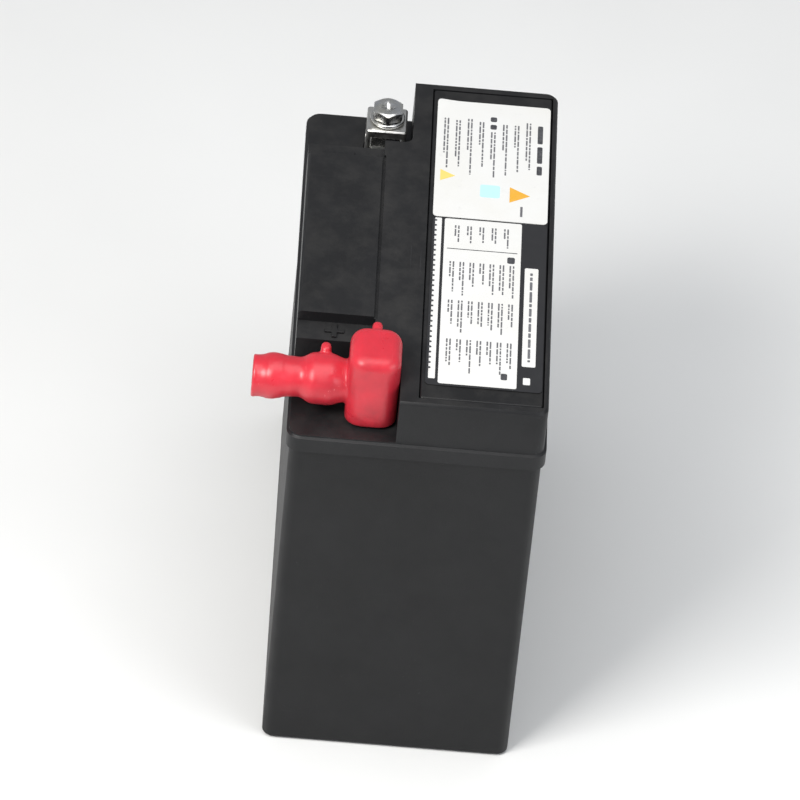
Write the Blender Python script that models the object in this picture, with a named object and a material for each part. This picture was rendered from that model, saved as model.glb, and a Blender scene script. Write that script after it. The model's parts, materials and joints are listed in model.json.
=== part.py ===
"""Sealed 12 V motorcycle battery: case, lid, valves, plate groups, terminals and a soft terminal cover.

Frame: origin at the centre of the base, +Z up, X along the length with the positive terminal at +X.
The terminals' side is the front, towards -Y. Units are metres.
"""

import math

import bmesh
import bpy

# Overall size, and the clearance between pieces that touch.
LENGTH = 0.175
WIDTH = 0.087
HEIGHT = 0.155
GAP = 0.0003

# Case.
CASE_LENGTH = 0.1725
CASE_WIDTH = 0.0845
CASE_TOP = 0.134
CASE_WALL = 0.0025
CASE_FLOOR = 0.003
CASE_RADIUS = 0.004
CASE_CHAMFER = 0.001
PARTITION = 0.0018
CELLS = 6

# Lid.
LABEL_THICKNESS = 0.00025
LABEL_GAP = 0.0002
LID_TOP = HEIGHT - LABEL_THICKNESS - LABEL_GAP
FLANGE_BOTTOM = 0.1305
FLANGE_TOP = 0.1365
LID_INSET = 0.0009
LID_RADIUS = 0.005
LID_CHAMFER = 0.0009
FLANGE_LIP = 0.0006
NOTCH_FLOOR = 0.137
NOTCH_LENGTH = 0.035
NOTCH_DEPTH = 0.0365
NOTCH_RADIUS = 0.003
ROOF = 0.0025
STEP_LENGTH = 0.0095
STEP_DROP = 0.004
PLATFORM_REAR = -0.0165
GROOVE_WIDTH = 0.0012
GROOVE_DEPTH = 0.001

# Valve cover, the chamber under it, and the valves.
COVER_LENGTH = 0.166
COVER_FRONT = -0.0005
COVER_REAR = 0.0406
COVER_THICKNESS = 0.0025
COVER_RADIUS = 0.001
COVER_CHAMFER = 0.0004
LEDGE = 0.0022
CHAMBER_FLOOR = 0.144
CHAMBER_PLATE = 0.002
NECK_RADIUS = 0.0055
NECK_HEIGHT = 0.004
VENT_RADIUS = 0.0025
VALVE_Y = 0.020
CAP_RADIUS = 0.0073
CAP_CHAMFER = 0.0006
CAP_LIFT = 0.0005
ARRESTOR_RADIUS = 0.0045
ARRESTOR_HEIGHT = 0.003

# Labels on the valve cover.
LABEL_FRONT = 0.001
LABEL_REAR = 0.0401
LABEL_FAR_END = -0.0772
LABEL_JOIN = -0.0130
LABEL_NEAR_END = 0.0762
LABEL_RADIUS = 0.001

# Plate groups.
PLATES = 9
PLATE_THICKNESS = 0.0015
PLATE_HALF_WIDTH = 0.0372
PLATE_BOTTOM = 0.006
PLATE_TOP = 0.111
SEPARATOR_THICKNESS = 0.0007
SEPARATOR_HALF_WIDTH = 0.0382
SEPARATOR_BOTTOM = 0.0045
SEPARATOR_TOP = 0.113
PLATE_GAP = 0.00025
TAB_Y = 0.018
TAB_WIDTH = 0.010
TAB_THICKNESS = 0.00135
STRAP_BOTTOM = 0.117
STRAP_TOP = 0.122
STRAP_WIDTH = 0.015
LUG_WIDTH = 0.013
LUG_TOP = 0.1315
LUG_THICKNESS = 0.0022
WELD_RADIUS = 0.0042
WELD_Z = 0.1262

# Posts and terminals.
TERMINAL_X = 0.0705
TERMINAL_Y = -0.016
TERMINAL_SIZE = 0.014
TERMINAL_TOP = 0.1495
TERMINAL_RADIUS = 0.001
TERMINAL_CHAMFER = 0.0005
CHANNEL_HALF_DEPTH = 0.0054
CHANNEL_BOTTOM = 0.1385
CHANNEL_TOP = 0.1465
SCREW_HOLE_RADIUS = 0.0033
POST_RADIUS = 0.0045
SEAL_RADIUS = 0.0072
NUT_HALF_SIZE = 0.005
NUT_HEIGHT = 0.005
NUT_HOLE_RADIUS = 0.00315
SHANK_RADIUS = 0.00285
SHANK_LENGTH = 0.0105
WASHER_RADIUS = 0.006
WASHER_THICKNESS = 0.0012
HEAD_ACROSS_FLATS = 0.010
HEAD_HEIGHT = 0.004
SCREW_CHAMFER = 0.0006
CROSS_LENGTH = 0.0054
CROSS_WIDTH = 0.0011
CROSS_DEPTH = 0.0018

# Soft cover of the positive terminal.
BOOT_WALL = 0.0014
BOOT_HALF_LENGTH = 0.0106
BOOT_HALF_DEPTH = 0.0087
BOOT_BOTTOM = 0.1378
BOOT_TOP = 0.1655
BOOT_RADIUS = 0.0053
BOOT_CROWN = 0.003
SLEEVE_Z = 0.1487
SLEEVE_ROOT = -0.02035
SLEEVE_NECK = -0.0270
SLEEVE_SWELL_REAR = -0.0310
SLEEVE_SWELL_FRONT = -0.0355
SLEEVE_WAIST = -0.0400
SLEEVE_RISE = -0.0440
SLEEVE_FRONT_SWELL = -0.0490
SLEEVE_END = -0.0565
SLEEVE_NECK_RADIUS = 0.0078
SLEEVE_SWELL_RADIUS = 0.0088
SLEEVE_WAIST_RADIUS = 0.0072
SLEEVE_RISE_RADIUS = 0.0076
SLEEVE_MOUTH_RADIUS = 0.0066
BOOT_TAB_LENGTH = 0.0048
BOOT_TAB_WIDTH = 0.0034
BOOT_TAB_HEIGHT = 0.0034
CAP_TAB_X = 0.0585
CAP_TAB_Z = 0.1624
SLEEVE_TAB_X = 0.0637
SLEEVE_TAB_Y = -0.0325
SLEEVE_TAB_Z = 0.1561

# Steps of round outlines.
ROUND_STEPS = 24
SLEEVE_STEPS = 20
CORNER_STEPS = 5
SMALL_CORNER_STEPS = 3
CROWN_STEPS = 3


def clear_scene():
    for obj in list(bpy.data.objects):
        bpy.data.objects.remove(obj, do_unlink=True)


def make_material(name, colour, roughness, metallic=0.0):
    material = bpy.data.materials.new(name)
    material.use_nodes = True
    shader = material.node_tree.nodes["Principled BSDF"]
    shader.inputs["Base Color"].default_value = (*colour, 1.0)
    shader.inputs["Roughness"].default_value = roughness
    shader.inputs["Metallic"].default_value = metallic
    material.diffuse_color = (*colour, 1.0)
    return material


def make_materials():
    return {
        "case_plastic": make_material("case_plastic", (0.020, 0.021, 0.023), 0.50),
        "lid_plastic": make_material("lid_plastic", (0.028, 0.028, 0.030), 0.45),
        "label": make_material("label", (0.88, 0.88, 0.86), 0.40),
        "rubber": make_material("rubber", (0.020, 0.020, 0.020), 0.80),
        "boot_vinyl": make_material("boot_vinyl", (0.72, 0.03, 0.07), 0.35),
        "lead": make_material("lead", (0.30, 0.31, 0.33), 0.55, 1.0),
        "paste": make_material("paste", (0.16, 0.09, 0.06), 0.90),
        "glass_mat": make_material("glass_mat", (0.85, 0.85, 0.82), 0.95),
        "tinned": make_material("tinned", (0.62, 0.62, 0.60), 0.35, 1.0),
        "zinc": make_material("zinc", (0.66, 0.67, 0.68), 0.28, 1.0),
        "epoxy": make_material("epoxy", (0.05, 0.05, 0.06), 0.30),
        "porous": make_material("porous", (0.75, 0.73, 0.68), 0.95),
    }


# Outlines: lists of (x, y) points, anticlockwise.


def arc(centre, radius, start, end, steps):
    angles = (start + (end - start) * i / steps for i in range(steps + 1))
    return [(centre[0] + radius * math.cos(a), centre[1] + radius * math.sin(a)) for a in angles]


def rounded_rectangle(half_x, half_y, radius, steps=CORNER_STEPS):
    points = []
    for quarter, (sx, sy) in enumerate(((1, 1), (-1, 1), (-1, -1), (1, -1))):
        centre = (sx * (half_x - radius), sy * (half_y - radius))
        start = quarter * math.pi / 2
        points += arc(centre, radius, start, start + math.pi / 2, steps)
    return points


def circle(radius, steps=ROUND_STEPS):
    return [
        (radius * math.cos(math.tau * i / steps), radius * math.sin(math.tau * i / steps))
        for i in range(steps)
    ]


def polygon(sides, across_flats, steps=ROUND_STEPS):
    """A regular polygon of that many points, its corners among them, so that it lofts to a circle."""
    points = []
    sector = math.tau / sides
    for i in range(steps):
        angle = math.tau * i / steps
        off = (angle % sector) - sector / 2
        reach = across_flats / 2 / math.cos(off)
        points.append((reach * math.cos(angle), reach * math.sin(angle)))
    return points


def turned(outline, angle):
    c = math.cos(angle)
    s = math.sin(angle)
    return [(x * c - y * s, x * s + y * c) for x, y in outline]


# Meshes.


def loft(loops, ring=False):
    """A closed mesh through loops of equally many points, capped at both ends or joined end to end."""
    mesh = bmesh.new()
    rows = [[mesh.verts.new(point) for point in loop] for loop in loops]
    pairs = list(zip(rows, rows[1:]))
    if ring:
        pairs.append((rows[-1], rows[0]))
    else:
        mesh.faces.new(list(reversed(rows[0])))
        mesh.faces.new(rows[-1])
    for low, high in pairs:
        count = len(low)
        for i in range(count):
            mesh.faces.new((low[i], low[(i + 1) % count], high[(i + 1) % count], high[i]))
    bmesh.ops.recalc_face_normals(mesh, faces=mesh.faces)
    return mesh


def at_height(outline, z, centre=(0.0, 0.0)):
    return [(x + centre[0], y + centre[1], z) for x, y in outline]


def prism(outline, low, high, centre=(0.0, 0.0)):
    return loft([at_height(outline, low, centre), at_height(outline, high, centre)])


def box(low, high):
    (x0, y0, z0), (x1, y1, z1) = low, high
    outline = [(x0, y0), (x1, y0), (x1, y1), (x0, y1)]
    return prism(outline, z0, z1)


def tube_ring(outer, inner, low, high, centre=(0.0, 0.0)):
    """A ring between an outer and an inner outline of equally many points."""
    return loft(
        [
            at_height(outer, low, centre),
            at_height(outer, high, centre),
            at_height(inner, high, centre),
            at_height(inner, low, centre),
        ],
        ring=True,
    )


def rod(axis, radius, start, end, steps=ROUND_STEPS):
    """A cylinder along X or Y, between two points."""
    outline = circle(radius, steps)
    x, y, z = start
    if axis == "X":
        loops = [[(place, y + u, z + v) for u, v in outline] for place in (x, end[0])]
    else:
        loops = [[(x + v, place, z + u) for u, v in outline] for place in (y, end[1])]
    return loft(loops)


def add_object(name, mesh, material, origin=(0.0, 0.0, 0.0), smooth=False):
    """Makes the object from a bmesh in world coordinates, with its origin at the point given."""
    bmesh.ops.translate(mesh, verts=mesh.verts, vec=[-v for v in origin])
    data = bpy.data.meshes.new(name)
    mesh.to_mesh(data)
    mesh.free()
    if smooth:
        data.shade_smooth()
        data.set_sharp_from_angle(angle=math.radians(35))
    data.materials.append(material)
    obj = bpy.data.objects.new(name, data)
    obj.location = origin
    bpy.context.scene.collection.objects.link(obj)
    return obj


def add_boolean(obj, operation, meshes):
    """A Boolean of the object with hidden helper objects, one for each mesh."""
    name = f"{obj.name}_{operation.lower()}_{len(obj.modifiers)}"
    helpers = bpy.data.collections.new(name)
    bpy.context.scene.collection.children.link(helpers)
    for i, mesh in enumerate(meshes):
        data = bpy.data.meshes.new(f"{name}_{i}")
        mesh.to_mesh(data)
        mesh.free()
        helper = bpy.data.objects.new(f"{name}_{i}", data)
        helper.hide_render = True
        helper.display_type = "WIRE"
        helpers.objects.link(helper)
    modifier = obj.modifiers.new(operation.title(), "BOOLEAN")
    modifier.operation = operation
    modifier.operand_type = "COLLECTION"
    modifier.collection = helpers
    modifier.solver = "EXACT"


# Places along the length that several pieces share.


def cell_half_length():
    inside = CASE_LENGTH - 2 * CASE_WALL - (CELLS - 1) * PARTITION
    return inside / CELLS / 2


def cell_centre(cell):
    pitch = 2 * cell_half_length() + PARTITION
    return (cell - (CELLS - 1) / 2) * pitch


def partition_centre(partition):
    return (cell_centre(partition) + cell_centre(partition + 1)) / 2


def weld_y(partition):
    """The links through the partitions alternate between the rear and the front, starting at the rear."""
    return TAB_Y if partition % 2 == 0 else -TAB_Y


# Case.


def make_case(material):
    half_x = CASE_LENGTH / 2
    half_y = CASE_WIDTH / 2
    full = rounded_rectangle(half_x, half_y, CASE_RADIUS)
    foot = rounded_rectangle(half_x - CASE_CHAMFER, half_y - CASE_CHAMFER, CASE_RADIUS - CASE_CHAMFER)
    body = loft([at_height(foot, 0.0), at_height(full, CASE_CHAMFER), at_height(full, CASE_TOP)])
    case = add_object("case", body, material)
    inner_y = half_y - CASE_WALL
    over = 0.01
    cells = []
    for cell in range(CELLS):
        x = cell_centre(cell)
        reach = cell_half_length()
        cells.append(box((x - reach, -inner_y, CASE_FLOOR), (x + reach, inner_y, CASE_TOP + over)))
    add_boolean(case, "DIFFERENCE", cells)
    holes = []
    for partition in range(CELLS - 1):
        x = partition_centre(partition)
        y = weld_y(partition)
        start = (x - PARTITION, y, WELD_Z)
        end = (x + PARTITION, y, WELD_Z)
        holes.append(rod("X", WELD_RADIUS + GAP, start, end))
    add_boolean(case, "DIFFERENCE", holes)


# Lid.


def lid_body():
    half_x = LENGTH / 2
    half_y = WIDTH / 2
    in_x = half_x - LID_INSET
    in_y = half_y - LID_INSET
    in_radius = LID_RADIUS - LID_INSET
    flange = rounded_rectangle(half_x, half_y, LID_RADIUS)
    wall = rounded_rectangle(in_x, in_y, in_radius)
    rim = rounded_rectangle(in_x - LID_CHAMFER, in_y - LID_CHAMFER, in_radius - LID_CHAMFER)
    return loft(
        [
            at_height(flange, FLANGE_BOTTOM),
            at_height(flange, FLANGE_TOP - FLANGE_LIP),
            at_height(wall, FLANGE_TOP),
            at_height(wall, LID_TOP - LID_CHAMFER),
            at_height(rim, LID_TOP),
        ]
    )


def lid_top_cutters():
    """Terminal notches, the steps beside them, the groove behind the platform, the valve cover's seat."""
    over = 0.02
    notch_x = LENGTH / 2 - NOTCH_LENGTH
    notch_y = -WIDTH / 2 + NOTCH_DEPTH
    step_x = notch_x - STEP_LENGTH
    cutters = []
    for side in (-1, 1):
        half_x = (NOTCH_LENGTH + over) / 2
        half_y = (NOTCH_DEPTH + over) / 2
        centre = (side * (notch_x + half_x), notch_y - half_y)
        outline = rounded_rectangle(half_x, half_y, NOTCH_RADIUS)
        cutters.append(prism(outline, NOTCH_FLOOR, HEIGHT + over, centre))
        x0, x1 = sorted((side * step_x, side * (notch_x + NOTCH_LENGTH / 2)))
        cutters.append(
            box((x0, -WIDTH / 2 - over, LID_TOP - STEP_DROP), (x1, PLATFORM_REAR, HEIGHT + over))
        )
    cutters.append(
        box(
            (-step_x - GROOVE_WIDTH, PLATFORM_REAR - GROOVE_WIDTH / 2, LID_TOP - GROOVE_DEPTH),
            (step_x + GROOVE_WIDTH, PLATFORM_REAR + GROOVE_WIDTH / 2, HEIGHT + over),
        )
    )
    half_cover = COVER_LENGTH / 2
    seat_z = LID_TOP - COVER_THICKNESS - GAP
    cutters.append(
        box(
            (-half_cover - GAP, COVER_FRONT - GAP, seat_z),
            (half_cover + GAP, COVER_REAR + GAP, HEIGHT + over),
        )
    )
    cutters.append(
        box(
            (-half_cover + LEDGE, COVER_FRONT + LEDGE, CHAMBER_FLOOR),
            (half_cover - LEDGE, COVER_REAR - LEDGE, HEIGHT + over),
        )
    )
    return cutters


def lid_under_cutters():
    """The rebate that fits over the case, and each cell's hollow under the parts of the lid's top."""
    under = 0.02
    notch_x = LENGTH / 2 - NOTCH_LENGTH
    notch_y = -WIDTH / 2 + NOTCH_DEPTH
    step_x = notch_x - STEP_LENGTH
    inner_y = CASE_WIDTH / 2 - CASE_WALL
    reach = LENGTH / 2
    rebate = rounded_rectangle(CASE_LENGTH / 2 + GAP, CASE_WIDTH / 2 + GAP, CASE_RADIUS + GAP)
    under_chamber = CHAMBER_FLOOR - CHAMBER_PLATE
    zones = [
        (-reach, reach, -inner_y, inner_y, NOTCH_FLOOR - ROOF),
        (-reach, reach, notch_y + ROOF, inner_y, under_chamber),
        (-notch_x + ROOF, notch_x - ROOF, -inner_y, notch_y + 2 * ROOF, under_chamber),
        (-step_x + ROOF, step_x - ROOF, -inner_y, COVER_FRONT - ROOF, LID_TOP - ROOF),
    ]
    cutters = [prism(rebate, FLANGE_BOTTOM - under, CASE_TOP + GAP)]
    for cell in range(CELLS):
        low = cell_centre(cell) - cell_half_length()
        high = cell_centre(cell) + cell_half_length()
        for x0, x1, y0, y1, roof in zones:
            start = max(low, x0)
            end = min(high, x1)
            if end - start > ROOF:
                cutters.append(box((start, y0, CASE_TOP - under), (end, y1, roof)))
    return cutters


def valve_places():
    return [(cell_centre(cell), VALVE_Y) for cell in range(CELLS)]


def make_lid(material):
    lid = add_object("lid", lid_body(), material)
    add_boolean(lid, "DIFFERENCE", lid_top_cutters())
    add_boolean(lid, "DIFFERENCE", lid_under_cutters())
    neck_top = CHAMBER_FLOOR + NECK_HEIGHT
    rooted = CHAMBER_FLOOR - CHAMBER_PLATE / 2
    necks = [prism(circle(NECK_RADIUS), rooted, neck_top, place) for place in valve_places()]
    add_boolean(lid, "UNION", necks)
    through = 0.01
    holes = [
        prism(circle(VENT_RADIUS), CHAMBER_FLOOR - through, neck_top + through, place)
        for place in valve_places()
    ]
    seat = circle(SEAL_RADIUS + GAP)
    for side in (-1, 1):
        place = (side * TERMINAL_X, TERMINAL_Y)
        holes.append(prism(seat, NOTCH_FLOOR - through, NOTCH_FLOOR + through, place))
    add_boolean(lid, "DIFFERENCE", holes)


# Valve cover and what is under it.


def make_valve_cover(material):
    half_x = COVER_LENGTH / 2
    half_y = (COVER_REAR - COVER_FRONT) / 2
    centre = (0.0, (COVER_REAR + COVER_FRONT) / 2)
    low = LID_TOP - COVER_THICKNESS
    in_x = half_x - COVER_CHAMFER
    in_y = half_y - COVER_CHAMFER
    full = rounded_rectangle(half_x, half_y, COVER_RADIUS, SMALL_CORNER_STEPS)
    rim = rounded_rectangle(in_x, in_y, COVER_RADIUS - COVER_CHAMFER, SMALL_CORNER_STEPS)
    body = loft(
        [
            at_height(full, low, centre),
            at_height(full, LID_TOP - COVER_CHAMFER, centre),
            at_height(rim, LID_TOP, centre),
        ]
    )
    add_object("valve_cover", body, material)


def make_valve_caps(material):
    """Rubber caps that seal the cells' necks, and lift when a cell vents."""
    under_cover = LID_TOP - COVER_THICKNESS
    top = under_cover - CAP_LIFT - GAP
    bottom = CHAMBER_FLOOR + GAP
    inside_top = CHAMBER_FLOOR + NECK_HEIGHT + GAP
    inside_radius = NECK_RADIUS + GAP
    for number, place in enumerate(valve_places(), 1):
        body = loft(
            [
                at_height(circle(inside_radius / 2), inside_top, place),
                at_height(circle(inside_radius), inside_top, place),
                at_height(circle(inside_radius), bottom, place),
                at_height(circle(CAP_RADIUS), bottom, place),
                at_height(circle(CAP_RADIUS), top - CAP_CHAMFER, place),
                at_height(circle(CAP_RADIUS - CAP_CHAMFER), top, place),
            ]
        )
        add_object(f"valve_cap_{number}", body, material, (*place, inside_top), smooth=True)


def make_flame_arrestor(material):
    """A porous disc on the chamber's floor, at the vent between the last cell's valve and the end wall."""
    place = ((cell_centre(CELLS - 2) + cell_centre(CELLS - 1)) / 2, VALVE_Y)
    low = CHAMBER_FLOOR + GAP
    body = prism(circle(ARRESTOR_RADIUS), low, low + ARRESTOR_HEIGHT, place)
    add_object("flame_arrestor", body, material, smooth=True)


def make_labels(material):
    low = LID_TOP + LABEL_GAP
    half_y = (LABEL_REAR - LABEL_FRONT) / 2
    y = (LABEL_REAR + LABEL_FRONT) / 2
    for name, x0, x1 in (
        ("notice_label", LABEL_FAR_END, LABEL_JOIN - GAP / 2),
        ("rating_label", LABEL_JOIN + GAP / 2, LABEL_NEAR_END),
    ):
        outline = rounded_rectangle((x1 - x0) / 2, half_y, LABEL_RADIUS, SMALL_CORNER_STEPS)
        place = ((x0 + x1) / 2, y)
        add_object(name, prism(outline, low, low + LABEL_THICKNESS, place), material)


# Cells.


def plate_x(cell, plate):
    pitch = PLATE_THICKNESS + SEPARATOR_THICKNESS + 2 * PLATE_GAP
    return cell_centre(cell) + (plate - (PLATES - 1) / 2) * pitch


def plate_body(x):
    half = PLATE_THICKNESS / 2
    return box((x - half, -PLATE_HALF_WIDTH, PLATE_BOTTOM), (x + half, PLATE_HALF_WIDTH, PLATE_TOP))


def make_plate_group(name, material, cell, first_plate, side, link):
    """Plates of one polarity, with tabs and a strap at the side given and a lug where link points."""
    plates = range(first_plate, PLATES, 2)
    y = side * TAB_Y
    sink = 0.001
    half_tab = TAB_THICKNESS / 2
    group = add_object(name, plate_body(plate_x(cell, plates[0])), material)
    pieces = []
    for plate in plates:
        x = plate_x(cell, plate)
        if plate != plates[0]:
            pieces.append(plate_body(x))
        pieces.append(
            box(
                (x - half_tab, y - TAB_WIDTH / 2, PLATE_TOP - sink),
                (x + half_tab, y + TAB_WIDTH / 2, STRAP_BOTTOM + sink),
            )
        )
    strap_start = plate_x(cell, plates[0]) - PLATE_THICKNESS
    strap_end = plate_x(cell, plates[-1]) + PLATE_THICKNESS
    wall = link * (cell_half_length() - GAP) + cell_centre(cell)
    lug_inner = wall - link * LUG_THICKNESS
    strap_start = min(strap_start, lug_inner) if link < 0 else strap_start
    strap_end = max(strap_end, lug_inner) if link > 0 else strap_end
    half_strap = STRAP_WIDTH / 2
    half_lug = LUG_WIDTH / 2
    if link:
        x0, x1 = sorted((lug_inner - link * sink / 2, wall))
        pieces.append(box((x0, y - half_lug, STRAP_BOTTOM + sink / 2), (x1, y + half_lug, LUG_TOP)))
    pieces.append(box((strap_start, y - half_strap, STRAP_BOTTOM), (strap_end, y + half_strap, STRAP_TOP)))
    add_boolean(group, "UNION", pieces)


def folded_sheet(points, thickness):
    """The outline of a sheet that follows a path of right-angled turns, as a closed list of points."""
    half = thickness / 2
    normals = []
    for (x0, y0), (x1, y1) in zip(points, points[1:]):
        length = math.hypot(x1 - x0, y1 - y0)
        normals.append(((y0 - y1) / length, (x1 - x0) / length))
    left, right = [], []
    for i, (x, y) in enumerate(points):
        near = normals[max(i - 1, 0) : i + 1]
        nx = sum(n[0] for n in near)
        ny = sum(n[1] for n in near)
        left.append((x + half * nx, y + half * ny))
        right.append((x - half * nx, y - half * ny))
    return right + left[::-1]


def make_separator(name, material, cell):
    """Glass mat folded to and fro between the plates, so that no two plates touch."""
    path = []
    for leg in range(PLATES - 1):
        x = (plate_x(cell, leg) + plate_x(cell, leg + 1)) / 2
        ends = (-SEPARATOR_HALF_WIDTH, SEPARATOR_HALF_WIDTH)
        path += [(x, y) for y in (ends if leg % 2 == 0 else ends[::-1])]
    outline = folded_sheet(path, SEPARATOR_THICKNESS)
    add_object(name, prism(outline, SEPARATOR_BOTTOM, SEPARATOR_TOP), material)


def make_cells(materials):
    """Each cell's negative group faces the side where the cell before it has its positive group."""
    for cell in range(CELLS):
        negative_side = -1 if cell % 2 == 0 else 1
        negative_link = 0 if cell == 0 else -1
        positive_link = 0 if cell == CELLS - 1 else 1
        number = cell + 1
        make_plate_group(
            f"negative_plates_{number}", materials["lead"], cell, 0, negative_side, negative_link
        )
        make_plate_group(
            f"positive_plates_{number}", materials["paste"], cell, 1, -negative_side, positive_link
        )
        make_separator(f"separator_{number}", materials["glass_mat"], cell)


def make_welds(material):
    for partition in range(CELLS - 1):
        x = partition_centre(partition)
        y = weld_y(partition)
        start = (x - PARTITION / 2, y, WELD_Z)
        end = (x + PARTITION / 2, y, WELD_Z)
        body = rod("X", WELD_RADIUS, start, end)
        add_object(f"intercell_weld_{partition + 1}", body, material, smooth=True)


# Posts and terminals. place is the (x, y) of the terminal's axis.


def make_post(name, material, place):
    body = prism(circle(POST_RADIUS), STRAP_TOP + GAP, NOTCH_FLOOR, place)
    add_object(name, body, material, smooth=True)


def make_seal(name, material, place):
    low = NOTCH_FLOOR - ROOF + GAP
    body = tube_ring(circle(SEAL_RADIUS), circle(POST_RADIUS + GAP), low, NOTCH_FLOOR, place)
    add_object(name, body, material, smooth=True)


def make_terminal(name, material, place):
    """A hollow block, open along X for the nut, with a screw hole in its top and one in its front."""
    x, y = place
    half = TERMINAL_SIZE / 2
    low = NOTCH_FLOOR + GAP
    small = half - TERMINAL_CHAMFER
    full = rounded_rectangle(half, half, TERMINAL_RADIUS, SMALL_CORNER_STEPS)
    rim = rounded_rectangle(small, small, TERMINAL_RADIUS - TERMINAL_CHAMFER, SMALL_CORNER_STEPS)
    body = loft(
        [
            at_height(full, low, place),
            at_height(full, TERMINAL_TOP - TERMINAL_CHAMFER, place),
            at_height(rim, TERMINAL_TOP, place),
        ]
    )
    terminal = add_object(name, body, material)
    over = 0.002
    channel_z = (CHANNEL_BOTTOM + CHANNEL_TOP) / 2
    channel = box(
        (x - half - over, y - CHANNEL_HALF_DEPTH, CHANNEL_BOTTOM),
        (x + half + over, y + CHANNEL_HALF_DEPTH, CHANNEL_TOP),
    )
    top_hole = prism(circle(SCREW_HOLE_RADIUS), channel_z, TERMINAL_TOP + over, place)
    front_hole = rod("Y", SCREW_HOLE_RADIUS, (x, y - half - over, channel_z), (x, y, channel_z))
    add_boolean(terminal, "DIFFERENCE", [channel, top_hole, front_hole])


def make_nut(name, material, place):
    """A square nut with its sides along X and Y."""
    top = CHANNEL_TOP - GAP
    square = turned(polygon(4, 2 * NUT_HALF_SIZE), math.pi / 4)
    bore = turned(circle(NUT_HOLE_RADIUS), math.pi / 4)
    add_object(name, tube_ring(square, bore, top - NUT_HEIGHT, top, place), material)


def make_washer(name, material, place):
    low = TERMINAL_TOP + GAP
    high = low + WASHER_THICKNESS
    body = tube_ring(circle(WASHER_RADIUS), circle(SCREW_HOLE_RADIUS), low, high, place)
    add_object(name, body, material, (*place, low), smooth=True)


def make_bolt(name, material, place):
    """An M6 screw with a chamfered hexagon head and a cross recess. Its origin is under the head."""
    low = TERMINAL_TOP + WASHER_THICKNESS + 2 * GAP
    top = low + HEAD_HEIGHT
    tip = low - SHANK_LENGTH
    head = polygon(6, HEAD_ACROSS_FLATS)
    body = loft(
        [
            at_height(circle(SHANK_RADIUS - SCREW_CHAMFER), tip, place),
            at_height(circle(SHANK_RADIUS), tip + SCREW_CHAMFER, place),
            at_height(circle(SHANK_RADIUS), low, place),
            at_height(head, low, place),
            at_height(head, top - SCREW_CHAMFER, place),
            at_height(circle(HEAD_ACROSS_FLATS / 2 - SCREW_CHAMFER), top, place),
        ]
    )
    bolt = add_object(name, body, material, (*place, low), smooth=True)
    x, y = place
    over = 0.001
    long_half = CROSS_LENGTH / 2
    thin_half = CROSS_WIDTH / 2
    arms = [
        box((x - a, y - b, top - CROSS_DEPTH), (x + a, y + b, top + over))
        for a, b in ((long_half, thin_half), (thin_half, long_half))
    ]
    add_boolean(bolt, "DIFFERENCE", arms)


def make_terminals(materials):
    for sign, x in (("negative", -TERMINAL_X), ("positive", TERMINAL_X)):
        place = (x, TERMINAL_Y)
        make_post(f"{sign}_post", materials["lead"], place)
        make_seal(f"{sign}_seal", materials["epoxy"], place)
        make_terminal(f"{sign}_terminal", materials["tinned"], place)
        make_nut(f"{sign}_nut", materials["zinc"], place)
        make_washer(f"{sign}_washer", materials["zinc"], place)
        make_bolt(f"{sign}_bolt", materials["zinc"], place)


# Soft cover of the positive terminal: a cap, and a sleeve with two swellings that leaves over the front.


def boot_cap(shrink):
    """The cap's solid, or its hollow when shrunk by the wall."""
    place = (TERMINAL_X, TERMINAL_Y)
    half_x = BOOT_HALF_LENGTH - shrink
    half_y = BOOT_HALF_DEPTH - shrink
    radius = BOOT_RADIUS - shrink
    top = BOOT_TOP - shrink
    under = 0.01 if shrink else 0.0
    loops = [at_height(rounded_rectangle(half_x, half_y, radius), BOOT_BOTTOM - under, place)]
    for step in range(CROWN_STEPS + 1):
        angle = step * math.pi / 2 / CROWN_STEPS
        inset = BOOT_CROWN * (1 - math.cos(angle))
        z = top - BOOT_CROWN + BOOT_CROWN * math.sin(angle)
        outline = rounded_rectangle(half_x - inset, half_y - inset, radius - inset)
        loops.append(at_height(outline, z, place))
    return loft(loops)


def boot_sleeve(shrink):
    """The sleeve's solid from inside the cap to the mouth, or its hollow when shrunk by the wall."""
    stations = [
        (SLEEVE_ROOT, SLEEVE_NECK_RADIUS),
        (SLEEVE_NECK, SLEEVE_NECK_RADIUS),
        (SLEEVE_SWELL_REAR, SLEEVE_SWELL_RADIUS),
        (SLEEVE_SWELL_FRONT, SLEEVE_SWELL_RADIUS),
        (SLEEVE_WAIST, SLEEVE_WAIST_RADIUS),
        (SLEEVE_RISE, SLEEVE_RISE_RADIUS),
        (SLEEVE_FRONT_SWELL, SLEEVE_NECK_RADIUS),
        (SLEEVE_END, SLEEVE_MOUTH_RADIUS),
    ]
    past = 0.005
    if shrink:
        stations.append((SLEEVE_END - past, SLEEVE_MOUTH_RADIUS))
    loops = []
    for y, radius in stations:
        outline = circle(radius - shrink, SLEEVE_STEPS)
        loops.append([(TERMINAL_X + u, y, SLEEVE_Z + v) for u, v in outline])
    return loft(loops)


def boot_tabs():
    """Two small pull tabs high on the side that faces the middle of the lid."""
    half_x = BOOT_TAB_LENGTH / 2
    half_y = BOOT_TAB_WIDTH / 2
    outline = rounded_rectangle(half_x, half_y, 0.8 * half_y, SMALL_CORNER_STEPS)
    places = (
        (CAP_TAB_X, TERMINAL_Y, CAP_TAB_Z),
        (SLEEVE_TAB_X, SLEEVE_TAB_Y, SLEEVE_TAB_Z),
    )
    tabs = []
    for x, y, z in places:
        tabs.append(prism(outline, z - BOOT_TAB_HEIGHT / 2, z + BOOT_TAB_HEIGHT / 2, (x, y)))
    return tabs


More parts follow.
